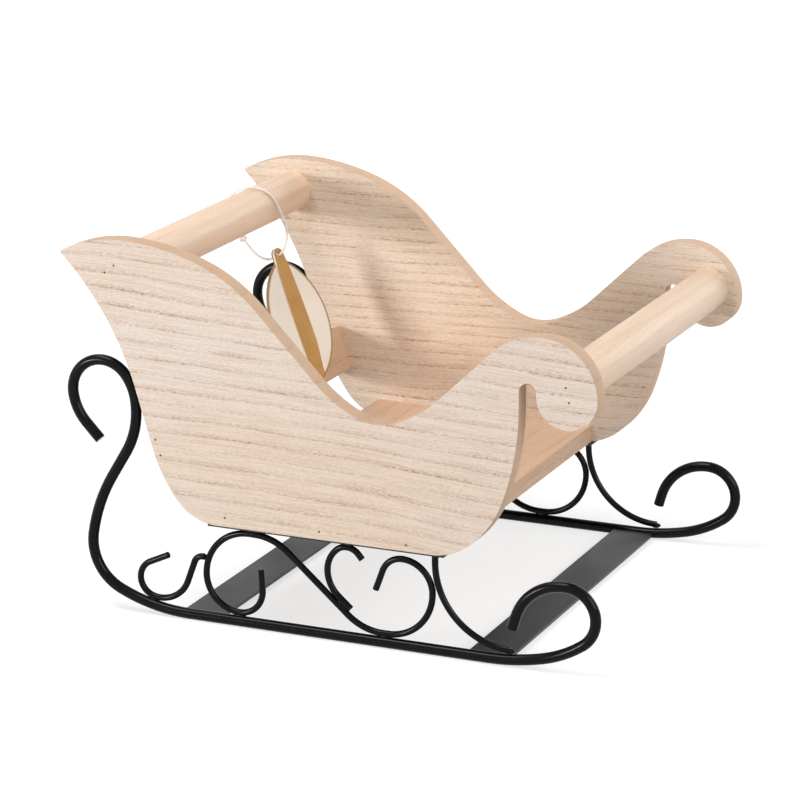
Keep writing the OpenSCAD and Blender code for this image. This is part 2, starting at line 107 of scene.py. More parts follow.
def add_node(
    tree: Tree,
    kind: str,
    inputs: dict[str | int, Any] | None = None,
    stops: Sequence[tuple[float, str]] = (),
    **settings: Any,
) -> bpy.types.Node:
    """Adds a node, with its settings, its values and its links.

    Args:
        tree: Node tree that takes the node.
        kind: Blender's name for the node's type.
        inputs: Value or output socket for each input, by name or number.
        stops: Places and hex colours of a colour ramp.
        settings: Properties of the node itself.

    Returns:
        The new node.
    """
    node = tree.nodes.new(kind)
    for name, value in settings.items():
        setattr(node, name, value)
    for key, value in (inputs or {}).items():
        if isinstance(value, Socket):
            tree.links.new(value, node.inputs[key])
        else:
            node.inputs[key].default_value = value
    if stops:
        ramp = node.color_ramp.elements
        while len(ramp) < len(stops):
            ramp.new(0.5)
        for element, (place, code) in zip(ramp, stops):
            element.position = place
            element.color = linear(code)
    return node


def per_metre(size_mm: float) -> float:
    """Noise scale that gives features of this size in millimetres."""
    return 1 / (size_mm * MM)


def stretched_noise(
    tree: Tree, place: Socket, size_mm: tuple[float, float, float], detail: float
) -> Socket:
    """Draws noise whose features have a size of their own along each axis.

    Args:
        tree: Node tree that takes the nodes.
        place: Coordinates in metres.
        size_mm: Size of a feature along x, y and z.
        detail: Finer layers of the noise.

    Returns:
        The noise's value.
    """
    scaled = add_node(
        tree, "ShaderNodeMapping",
        {"Vector": place, "Scale": tuple(per_metre(size) for size in size_mm)},
    ).outputs["Vector"]
    return add_node(
        tree, "ShaderNodeTexNoise", {"Vector": scaled, "Scale": 1.0, "Detail": detail}
    ).outputs["Fac"]


class Finish:
    """Base of the finishes: makes its material once and hands it out."""

    name: str
    _made: dict[str, bpy.types.Material] = {}

    def material(self) -> bpy.types.Material:
        """Gives the material, made at its first use."""
        if self.name not in Finish._made:
            material = bpy.data.materials.new(self.name)
            material.use_nodes = True
            tree = material.node_tree
            tree.nodes.clear()
            place = add_node(tree, "ShaderNodeTexCoord").outputs["Object"]
            surface = {"IOR": SURFACE_IOR, **self.shade(tree, place)}
            shader = add_node(tree, "ShaderNodeBsdfPrincipled", surface).outputs["BSDF"]
            add_node(tree, "ShaderNodeOutputMaterial", {"Surface": shader})
            Finish._made[self.name] = material
        return Finish._made[self.name]

    def shade(self, tree: Tree, place: Socket) -> dict[str, Any]:
        """Draws the finish over coordinates in metres, and returns its shader's inputs."""
        raise NotImplementedError


@dataclass(frozen=True)
class RingPorousBoard(Finish):
    """Sawn and sanded board of a pale ring-porous wood, left bare.

    The eye sees a pinkish cream ground with a soft red-brown band at each growth ring, which is
    broken into short open pores, fainter pores between the bands, and plain tan on the cut edges.
    The pores are drawn somewhat wider than in the wood, so that they show at the photo's distance.
    """

    name: str = "ring_porous_board"
    grain: GrainAxis = GrainAxis.ALONG
    ground: str = "#ece0d4"
    late: str = "#e1cfc0"
    pore: str = "#a67250"
    edge: str = "#bd9876"
    # Painted highlight: the pale tone drawn on the eased arris, where light catches the rounded
    # edge.
    eased: str = "#cfad8f"
    ring_mm: float = 7.0
    wander_mm: float = 14.0
    slope_deg: float = -2.5
    band_long_mm: float = 45.0
    band_wide_mm: float = 8.0
    pore_long_mm: float = 1.9
    pore_wide_mm: float = 0.29
    fibre_long_mm: float = 24.0
    fibre_wide_mm: float = 0.6
    patch_long_mm: float = 180.0
    patch_mm: float = 60.0
    streak_depth: float = 4.0
    pores_in_band: float = 0.78
    pores_between: float = 0.2
    band_stain: float = 0.19
    edge_grain: float = 0.22
    roughness: float = 0.62
    polish: float = 0.06
    fuzz: float = 0.1

    def streaks(self, tree: Tree, place: Socket, long_mm: float, wide_mm: float) -> Socket:
        """Draws noise in streaks along x, where the grain runs, that are deeper than wide."""
        deep_mm = self.streak_depth * wide_mm
        return stretched_noise(tree, place, (long_mm, deep_mm, wide_mm), 2.0)

    def shade(self, tree: Tree, place: Socket) -> dict[str, Any]:
        """Draws rings, pores and fibres along the grain, and the plain cut edges."""
        along = add_node(
            tree, "ShaderNodeMapping",
            {"Vector": place, "Rotation": (0.0, math.radians(self.slope_deg), self.grain.value)},
        ).outputs["Vector"]
        # A slow wander bends the rings across the board by a few millimetres.
        drift = self.streaks(tree, along, self.patch_long_mm, self.patch_mm)
        shift = add_node(
            tree, "ShaderNodeMath", {0: drift, 1: self.wander_mm * MM}, operation="MULTIPLY"
        ).outputs["Value"]
        moved = add_node(tree, "ShaderNodeCombineXYZ", {"Z": shift}).outputs["Vector"]
        bent = add_node(
            tree, "ShaderNodeVectorMath", {0: along, 1: moved}, operation="ADD"
        ).outputs["Vector"]
        # Blender's bands repeat every 2 pi / 20 of their scaled coordinate.
        long_way = add_node(
            tree, "ShaderNodeMapping", {"Vector": bent, "Scale": (0.05, 0.3, 1.0)}
        ).outputs["Vector"]
        rings = add_node(
            tree, "ShaderNodeTexWave",
            {
                "Vector": long_way,
                "Scale": 2 * math.pi / 20 / (self.ring_mm * MM),
                "Distortion": 2.6,
                "Detail": 3.0,
                "Detail Scale": 1.1,
                "Detail Roughness": 0.6,
            },
            bands_direction="Z",
            wave_profile="SAW",
        ).outputs["Fac"]
        # The pores stand thick at the start of each ring and thin out after it.
        in_ring = add_node(
            tree, "ShaderNodeValToRGB", {"Fac": rings},
            stops=((0.0, "#a8a8a8"), (0.07, "#ffffff"), (0.22, "#a8a8a8"), (0.5, "#303030")),
        ).outputs["Color"]
        strong = add_node(
            tree, "ShaderNodeMapRange",
            {
                "Value": self.streaks(tree, bent, self.band_long_mm, self.band_wide_mm),
                "From Min": 0.34,
                "From Max": 0.66,
                "To Min": 0.12,
                "To Max": 1.0,
            },
        ).outputs["Result"]
        band = add_node(
            tree, "ShaderNodeMath", {0: in_ring, 1: strong}, operation="MULTIPLY"
        ).outputs["Value"]
        pores = add_node(
            tree, "ShaderNodeMapRange",
            {
                "Value": self.streaks(tree, bent, self.pore_long_mm, self.pore_wide_mm),
                "From Min": 0.44,
                "From Max": 0.66,
            },
        ).outputs["Result"]
        share = add_node(
            tree, "ShaderNodeMath", {0: band, 1: self.pores_in_band, 2: self.pores_between},
            operation="MULTIPLY_ADD",
        ).outputs["Value"]
        in_pores = add_node(
            tree, "ShaderNodeMath", {0: pores, 1: share}, operation="MULTIPLY"
        ).outputs["Value"]
        dark = add_node(
            tree, "ShaderNodeMath", {0: band, 1: self.band_stain, 2: in_pores},
            operation="MULTIPLY_ADD",
        ).outputs["Value"]
        fibres = self.streaks(tree, bent, self.fibre_long_mm, self.fibre_wide_mm)
        fibre_tone = add_node(
            tree, "ShaderNodeValToRGB", {"Fac": fibres},
            stops=((0.32, self.late), (0.58, self.ground)),
        ).outputs["Color"]
        face = add_node(
            tree, "ShaderNodeMixRGB",
            {"Fac": dark, "Color1": fibre_tone, "Color2": linear(self.pore)},
        ).outputs["Color"]
        tint = add_node(
            tree, "ShaderNodeValToRGB", {"Fac": drift},
            stops=((0.36, "#fdf6ee"), (0.64, "#fffefe")),
        ).outputs["Color"]
        face_tone = add_node(
            tree, "ShaderNodeMixRGB", {"Fac": 1.0, "Color1": face, "Color2": tint},
            blend_type="MULTIPLY",
        ).outputs["Color"]
        # Cut edges face along x or z; the eased arris between edge and face gets a painted
        # highlight, the palest tone.
        facing = add_node(tree, "ShaderNodeNewGeometry").outputs["Normal"]
        sideways = add_node(tree, "ShaderNodeSeparateXYZ", {"Vector": facing}).outputs["Y"]
        broad = add_node(
            tree, "ShaderNodeMath", {0: sideways}, operation="ABSOLUTE"
        ).outputs["Value"]
        cut_tone_and_painted_highlight = add_node(
            tree, "ShaderNodeValToRGB", {"Fac": broad},
            stops=((0.12, self.edge), (0.45, self.eased), (0.9, self.eased)),
        ).outputs["Color"]
        cut_fibre_and_painted_highlight = add_node(
            tree, "ShaderNodeMixRGB",
            {"Fac": self.edge_grain, "Color1": cut_tone_and_painted_highlight, "Color2": face_tone},
        ).outputs["Color"]
        is_face = add_node(
            tree, "ShaderNodeMapRange", {"Value": broad, "From Min": 0.86, "From Max": 0.98}
        ).outputs["Result"]
        colour = add_node(
            tree, "ShaderNodeMixRGB", {"Fac": is_face, "Color1": cut_fibre_and_painted_highlight, "Color2": face_tone}
        ).outputs["Color"]
        depth = add_node(
            tree, "ShaderNodeMath", {0: 1.0, 1: dark}, operation="SUBTRACT"
        ).outputs["Value"]
        relief = add_node(
            tree, "ShaderNodeBump", {"Strength": 0.2, "Distance": 0.12 * MM, "Height": depth}
        ).outputs["Normal"]
        matt = add_node(
            tree, "ShaderNodeMapRange",
            {
                "Value": fibres,
                "To Min": self.roughness - self.polish,
                "To Max": self.roughness + self.fuzz,
            },
        ).outputs["Result"]
        return {"Base Color": colour, "Roughness": matt, "Normal": relief}


@dataclass(frozen=True)
class TurnedBeech(Finish):
    """Turned and sanded beech dowel, left bare.

    The eye sees an even pink-cream round with fine fibres along it and short brown flecks.
    """

    name: str = "turned_beech"
    ground: str = "#e9cfb6"
    late: str = "#e2c3a8"
    fleck: str = "#c79e80"
    fleck_long_mm: float = 2.4
    fleck_wide_mm: float = 0.5
    fibre_long_mm: float = 70.0
    fibre_wide_mm: float = 2.6
    roughness: float = 0.5

    def shade(self, tree: Tree, place: Socket) -> dict[str, Any]:
        """Draws the fibres and flecks along y."""
        wide, long = self.fibre_wide_mm, self.fibre_long_mm
        fibres = stretched_noise(tree, place, (wide, long, wide), 4.0)
        thin, short = self.fleck_wide_mm, self.fleck_long_mm
        flecks = stretched_noise(tree, place, (thin, short, thin), 1.0)
        tone = add_node(
            tree, "ShaderNodeValToRGB", {"Fac": fibres},
            stops=((0.3, self.late), (0.62, self.ground)),
        ).outputs["Color"]
        marks = add_node(
            tree, "ShaderNodeMapRange",
            {"Value": flecks, "From Min": 0.62, "From Max": 0.76, "To Max": 0.6},
        ).outputs["Result"]
        colour = add_node(
            tree, "ShaderNodeMixRGB",
            {"Fac": marks, "Color1": tone, "Color2": linear(self.fleck)},
        ).outputs["Color"]
        relief = add_node(
            tree, "ShaderNodeBump", {"Strength": 0.2, "Distance": 0.08 * MM, "Height": fibres}
        ).outputs["Normal"]
        return {"Base Color": colour, "Roughness": self.roughness, "Normal": relief}


@dataclass(frozen=True)
class PowderCoat(Finish):
    """Black polyester powder coat on steel, sprayed dry and baked.

    The eye sees a deep black with a long soft shine, slightly dimpled, with greyer rubbed spots.
    """

    name: str = "black_powder_coat_wire"
    body: str = "#030405"
    rubbed: str = "#08090a"
    dimple_mm: float = 1.4
    patch_mm: float = 9.0
    gloss: float = 0.14
    dull: float = 0.24
    relief_mm: float = 0.012
    mirror: float = 0.13

    def shade(self, tree: Tree, place: Socket) -> dict[str, Any]:
        """Draws the dimples and the duller patches."""
        dimples = add_node(
            tree, "ShaderNodeTexNoise",
            {"Vector": place, "Scale": per_metre(self.dimple_mm), "Detail": 2.0},
        ).outputs["Fac"]
        patches = add_node(
            tree, "ShaderNodeTexNoise",
            {"Vector": place, "Scale": per_metre(self.patch_mm), "Detail": 4.0},
        ).outputs["Fac"]
        colour = add_node(
            tree, "ShaderNodeValToRGB", {"Fac": patches},
            stops=((0.42, self.body), (0.75, self.rubbed)),
        ).outputs["Color"]
        matt = add_node(
            tree, "ShaderNodeMapRange",
            {
                "Value": patches,
                "From Min": 0.3,
                "From Max": 0.7,
                "To Min": self.gloss,
                "To Max": self.dull,
            },
        ).outputs["Result"]
        relief = add_node(
            tree, "ShaderNodeBump",
            {"Strength": 0.3, "Distance": self.relief_mm * MM, "Height": dimples},
        ).outputs["Normal"]
        return {
            "Base Color": colour,
            "Roughness": matt,
            "Normal": relief,
            "Specular IOR Level": self.mirror,
        }


@dataclass(frozen=True)
class PressedCard(Finish):
    """Pale pressed card with a matt face.

    The eye sees a flat tone with a fine mottle and a few darker fibres, which are drawn thicker
    than real ones, so that they show.
    """

    name: str = "pressed_card"
    body: str = "#f6ede0"
    mottle: str = "#f1e6d7"
    fibre: str = "#b49a78"
    mottle_mm: float = 16.0
    fibre_mm: float = 0.8
    roughness: float = 0.6

    def shade(self, tree: Tree, place: Socket) -> dict[str, Any]:
        """Draws the mottle and the fibres."""
        mottle = add_node(
            tree, "ShaderNodeTexNoise",
            {"Vector": place, "Scale": per_metre(self.mottle_mm), "Detail": 4.0},
        ).outputs["Fac"]
        fibres = add_node(
            tree, "ShaderNodeTexNoise",
            {"Vector": place, "Scale": per_metre(self.fibre_mm), "Detail": 2.0},
        ).outputs["Fac"]
        tone = add_node(
            tree, "ShaderNodeValToRGB", {"Fac": mottle},
            stops=((0.35, self.mottle), (0.62, self.body)),
        ).outputs["Color"]
        marks = add_node(
            tree, "ShaderNodeMapRange",
            {"Value": fibres, "From Min": 0.68, "From Max": 0.76, "To Max": 0.6},
        ).outputs["Result"]
        colour = add_node(
            tree, "ShaderNodeMixRGB",
            {"Fac": marks, "Color1": tone, "Color2": linear(self.fibre)},
        ).outputs["Color"]
        relief = add_node(
            tree, "ShaderNodeBump", {"Strength": 0.15, "Distance": 0.05 * MM, "Height": fibres}
        ).outputs["Normal"]
        return {"Base Color": colour, "Roughness": self.roughness, "Normal": relief}


@dataclass(frozen=True)
class ScorchedCard(PressedCard):
    """Pressed card cut to an oval by a hot beam.

    The eye sees the card's pale face, a thin toasted line along its rim, and a brown cut edge.
    """

    name: str = "scorch_cut_card"
    scorch: str = "#a5835f"
    low: tuple[float, float, float] = (0.0, 0.0, 0.0)
    turn: tuple[float, float, float] = (0.0, 0.0, 0.0)
    out: tuple[float, float, float] = (0.0, 0.0, 1.0)
    half: float = 30.0
    reach: float = 24.0
    end_r: float = 7.0
    side_r: float = 40.0
    drop: float = 20.0
    rim: float = 1.3
    rim_core: float = 0.6
    cut_facing: float = 0.6
    foot: str = "#c49655"
    foot_h: float = 6.0
    foot_w: float = 9.0

    def shade(self, tree: Tree, place: Socket) -> dict[str, Any]:
        """Draws the card, the strip's foot, and the scorch by the depth inside the oval's arcs."""
        card = super().shade(tree, place)
        on_card = add_node(
            tree, "ShaderNodeMapping",
            {
                "Vector": place,
                "Location": tuple(c * MM for c in self.low),
                "Rotation": self.turn,
                "Scale": (MM, MM, MM),
            },
            vector_type="TEXTURE",
        ).outputs["Vector"]
        up = add_node(tree, "ShaderNodeSeparateXYZ", {"Vector": on_card})
        from_middle = add_node(
            tree, "ShaderNodeMath", {0: up.outputs["X"], 1: self.half}, operation="SUBTRACT"
        ).outputs["Value"]
        lengthwise = add_node(
            tree, "ShaderNodeMath", {0: from_middle}, operation="ABSOLUTE"
        ).outputs["Value"]
        sideways = add_node(
            tree, "ShaderNodeMath", {0: up.outputs["Y"]}, operation="ABSOLUTE"
        ).outputs["Value"]
        below = add_node(
            tree, "ShaderNodeMath", {0: up.outputs["X"], 1: self.foot_h}, operation="LESS_THAN"
        ).outputs["Value"]
        within = add_node(
            tree, "ShaderNodeMath", {0: sideways, 1: self.foot_w / 2}, operation="LESS_THAN"
        ).outputs["Value"]
        on_foot = add_node(
            tree, "ShaderNodeMath", {0: below, 1: within}, operation="MULTIPLY"
        ).outputs["Value"]
        colour = add_node(
            tree, "ShaderNodeMixRGB",
            {"Fac": on_foot, "Color1": card["Base Color"], "Color2": linear(self.foot)},
        ).outputs["Color"]
        depths = []
        for past, lift, radius in ((0.0, self.drop, self.side_r), (self.reach, 0.0, self.end_r)):
            along = add_node(
                tree, "ShaderNodeMath", {0: lengthwise, 1: past}, operation="SUBTRACT"
            ).outputs["Value"]
            over = add_node(
                tree, "ShaderNodeMath", {0: sideways, 1: lift}, operation="ADD"
            ).outputs["Value"]
            spoke = add_node(
                tree, "ShaderNodeCombineXYZ", {"X": along, "Y": over}
            ).outputs["Vector"]
            span = add_node(
                tree, "ShaderNodeVectorMath", {0: spoke}, operation="LENGTH"
            ).outputs["Value"]
            inside = add_node(tree, "ShaderNodeMath", {0: radius, 1: span}, operation="SUBTRACT")
            depths.append(inside.outputs["Value"])
        touch = self.side_r * math.cos(math.atan2(self.drop, self.reach))
        at_end = add_node(
            tree, "ShaderNodeMath", {0: lengthwise, 1: touch}, operation="GREATER_THAN"
        ).outputs["Value"]
        depth = add_node(
            tree, "ShaderNodeMix", {0: at_end, 2: depths[0], 3: depths[1]}
        ).outputs[0]
        rim = add_node(
            tree, "ShaderNodeMapRange",
            {
                "Value": depth,
                "From Min": self.rim_core * self.rim,
                "From Max": self.rim,
                "To Min": 1.0,
                "To Max": 0.0,
            },
        ).outputs["Result"]
        facing = add_node(tree, "ShaderNodeNewGeometry").outputs["Normal"]
        outward = add_node(
            tree, "ShaderNodeVectorMath", {0: facing, 1: self.out}, operation="DOT_PRODUCT"
        ).outputs["Value"]
        flat = add_node(
            tree, "ShaderNodeMath", {0: outward}, operation="ABSOLUTE"
        ).outputs["Value"]
        cut = add_node(
            tree, "ShaderNodeMath", {0: flat, 1: self.cut_facing}, operation="LESS_THAN"
        ).outputs["Value"]
        scorched = add_node(
            tree, "ShaderNodeMath", {0: rim, 1: cut}, operation="MAXIMUM"
        ).outputs["Value"]
        edged = add_node(
            tree, "ShaderNodeMixRGB",
            {"Fac": scorched, "Color1": colour, "Color2": linear(self.scorch)},
        ).outputs["Color"]
        return {**card, "Base Color": edged}


@dataclass(frozen=True)
class CottonTwine(Finish):
    """Two-ply spun cotton.

    The eye sees a soft off-white with pinkish hollows and a faint fuzz, which is drawn coarser
    than cotton's own fibres, so that it shows.
    """

    name: str = "cotton_twine"
    body: str = "#fff8f4"
    hollow: str = "#f6e8e1"
    fluff_mm: float = 0.35
    roughness: float = 0.85
    sheen: float = 0.3

    def shade(self, tree: Tree, place: Socket) -> dict[str, Any]:
        """Draws the loose fibres of the yarn."""
        fluff = add_node(
            tree, "ShaderNodeTexNoise",
            {"Vector": place, "Scale": per_metre(self.fluff_mm), "Detail": 3.0},
        ).outputs["Fac"]
        colour = add_node(
            tree, "ShaderNodeValToRGB", {"Fac": fluff},
            stops=((0.35, self.hollow), (0.6, self.body)),
        ).outputs["Color"]
        relief = add_node(
            tree, "ShaderNodeBump", {"Strength": 0.4, "Distance": 0.08 * MM, "Height": fluff}
        ).outputs["Normal"]
        return {
            "Base Color": colour,
            "Roughness": self.roughness,
            "Normal": relief,
            "Sheen Weight": self.sheen,
        }


BOARD = RingPorousBoard()
TAN_BOARD = RingPorousBoard(
    name="ring_porous_tan_board",
    ground="#ebdecf",
    late="#deccb8",
    pore="#ad734a",
    edge="#cfaa8c",
    slope_deg=0.5,
    ring_mm=5.2,
)
# The slope turns a board that runs across about its own grain, so rings show on top and sides.
CROSS_BOARD_WITH_PAINTED_SHADE = RingPorousBoard(
    name="ring_porous_cross_board_painted_shade",
    grain=GrainAxis.ACROSS,
    slope_deg=52.0,
    # Painted shade: these tones are darker and tanner than the side panels', for the floor and
    # slat that sit in shade inside the body.
    ground="#d9bfa8",
    late="#caab90",
    edge="#cba88a",
    eased="#d3b397",
    edge_grain=0.6,
)
BEECH = TurnedBeech()
WIRE_COAT = PowderCoat()
STRIP_COAT_WITH_PAINTED_REFLECTION = PowderCoat(
    name="black_powder_coat_strip",
    # Painted reflection, in part: the same black coat drawn a lighter bluish grey than the wires',
    # for the bright room that the flat strips reflect.
    body="#202427",
    rubbed="#2b2f32",
    gloss=0.34,
    dull=0.46,
    dimple_mm=1.0,
    patch_mm=26.0,
    mirror=0.35,
)
# A bead's ripples and spatter show through the coat, which lies rougher there.
BEAD_COAT = PowderCoat(name="black_powder_coat_weld", relief_mm=0.08, gloss=0.2, dull=0.32)
# The brads are bare steel that has gone dull and brown in air, as rough as a worn coat.
BRAD_STEEL = PowderCoat(
    name="oxidised_brad_steel",
    body="#54443a",
    rubbed="#7a6658",
    gloss=0.45,
    dull=0.6,
    dimple_mm=0.4,
    patch_mm=1.0,
    mirror=0.5,
)
CUT_CARD = PressedCard(name="pale_cut_card", body="#fbf5e9", mottle="#f6eee0")
STRIP_FACE = PressedCard(
    name="ochre_card_strip",
    body="#c49655",
    mottle="#b88a4a",
    fibre="#d6b680",
    mottle_mm=14.0,
    roughness=0.5,
)
TWINE = CottonTwine()


def new_piece(
    name: str,
    bm: Mesh,
    finishes: Sequence[Finish],
    smooth: bool = True,
) -> Object:
    """Turns a finished mesh into a piece that rides on the sleigh.

    Args:
        name: Name of the piece.
        bm: Mesh in metres, in the row frame; it is freed here.
        finishes: Finishes in the order of the faces' material numbers.
        smooth: Whether its faces are shaded smooth.

    Returns:
        The new object.
    """
    mesh = bpy.data.meshes.new(name)
    bmesh.ops.recalc_face_normals(bm, faces=bm.faces)
    for face in bm.faces:
        face.smooth = smooth
    bm.to_mesh(mesh)
    bm.free()
    piece = bpy.data.objects.new(name, mesh)
    bpy.context.scene.collection.objects.link(piece)
    for finish in finishes:
        mesh.materials.append(finish.material())
    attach(piece, "root")
    log.info("%s: %d faces", name, len(mesh.polygons))
    return piece


def coat(node: Object, finish: Finish) -> None:
    """Gives a solid of the frame its finish."""
    node.data.materials.clear()
    node.data.materials.append(finish.material())
    log.info("%s: %s", node.name, finish.name)


def ease(node: Object, finish: Finish, radius_mm: float) -> None:
    """Gives a solid its finish and softens its sharp edges.

    Args:
        node: Solid of the frame, whose mesh isn't changed.
        finish: Finish of the whole solid.
        radius_mm: Width of the eased edge.
    """
    coat(node, finish)
    weld = node.modifiers.new("one_skin", "WELD")
    weld.merge_threshold = WELD_MM * MM
    arris = node.modifiers.new("eased_edge", "BEVEL")
    arris.width = radius_mm * MM
    arris.segments = EDGE_STEPS
    arris.limit_method = "ANGLE"
    arris.angle_limit = math.radians(EDGE_ANGLE_DEG)
    arris.harden_normals = True


def circle(radius: float, count: int) -> list[tuple[float, float]]:
    """Gives this many points round a circle, in the radius's unit."""
    turns = [2 * math.pi * k / count for k in range(count)]
    return [(radius * math.cos(a), radius * math.sin(a)) for a in turns]


def loft(
    bm: Mesh,
    rings: Sequence[Sequence[Vector]],
    material: int = 0,
    capped: bool = True,
) -> list[list[bmesh.types.BMVert]]:
    """Joins rings of points with quads.

    Args:
        bm: Mesh that takes the faces.
        rings: Rings of the same number of points, in order.
        material: Material number of the faces.
        capped: Whether the first and last ring are closed.

    Returns:
        The rings as points of the mesh.
    """
    rows = [[bm.verts.new(p) for p in ring] for ring in rings]
    count = len(rows[0])
    faces = [
        bm.faces.new((a[k], a[(k + 1) % count], b[(k + 1) % count], b[k]))
        for a, b in zip(rows, rows[1:])
        for k in range(count)
    ]
    if capped:
        faces += [bm.faces.new(rows[0][::-1]), bm.faces.new(rows[-1])]
    for face in faces:
        face.material_index = material
    return rows


def tube_rings(
    path: Sequence[Vector],
    section: Callable[[float], Sequence[tuple[float, float]]],
) -> list[list[Vector]]:
    """Carries a cross-section along a path without twisting it.

    Args:
        path: Points of the centreline.
        section: Gives the section's points for the length walked so far.

    Returns:
        One ring of points for each point of the path.
    """
    rings: list[list[Vector]] = []
    # Any direction will do to start with that no path here runs along.
    side = Vector((0.2, 1.0, 0.1))
    walked = 0.0
    for i, point in enumerate(path):
        way = (path[min(i + 1, len(path) - 1)] - path[max(i - 1, 0)]).normalized()
        side = (side - way * side.dot(way)).normalized()
        other = way.cross(side)
        if i:
            walked += (point - path[i - 1]).length
        rings.append([point + side * u + other * v for u, v in section(walked)])
    return rings


def smooth_path(route: Sequence[Sequence[float]], steps: int) -> list[Vector]:
    """Draws the Catmull-Rom curve through the points, as the part's source does.

    Args:
        route: Points in millimetres.
        steps: Steps between two points.

    Returns:
        Points of the curve in metres.
    """
    points = [Vector(p) * MM for p in route]
    last = len(points) - 1
    curve: list[Vector] = []
    for i in range(last):
        a, b = points[max(i - 1, 0)], points[i]
        c, d = points[i + 1], points[min(i + 2, last)]
        for k in range(steps):
            t = k / steps
            curve.append(
                0.5
                * (
                    2 * b
                    + (c - a) * t
                    + (2 * a - 5 * b + 4 * c - d) * t**2
                    + (3 * b - a - 3 * c + d) * t**3
                )
            )
    return curve + [points[last]]


@dataclass
class PhotoCamera:
    """Camera at the place from which the sleigh is seen."""

    place: tuple[float, float, float] = (0.61566, -1.44440, 0.53536)
    looks: tuple[float, float, float] = (-0.38047, 0.88299, -0.27489)
    lens_mm: float = 156.88
    film_mm: float = 36.0
    near_m: float = 0.05

    def build(self) -> Object:
        """Makes the camera and puts it in charge of the scene."""
        data = bpy.data.cameras.new("photo_camera")
        data.sensor_fit = "HORIZONTAL"
        data.sensor_width = self.film_mm
        data.lens = self.lens_mm
        data.clip_start = self.near_m
        camera = bpy.data.objects.new("photo_camera", data)
        camera.location = self.place
        camera.rotation_euler = Vector(self.looks).to_track_quat("-Z", "Y").to_euler()
        bpy.context.scene.collection.objects.link(camera)
        bpy.context.scene.camera = camera
        log.info("camera at %s", self.place)
        return camera


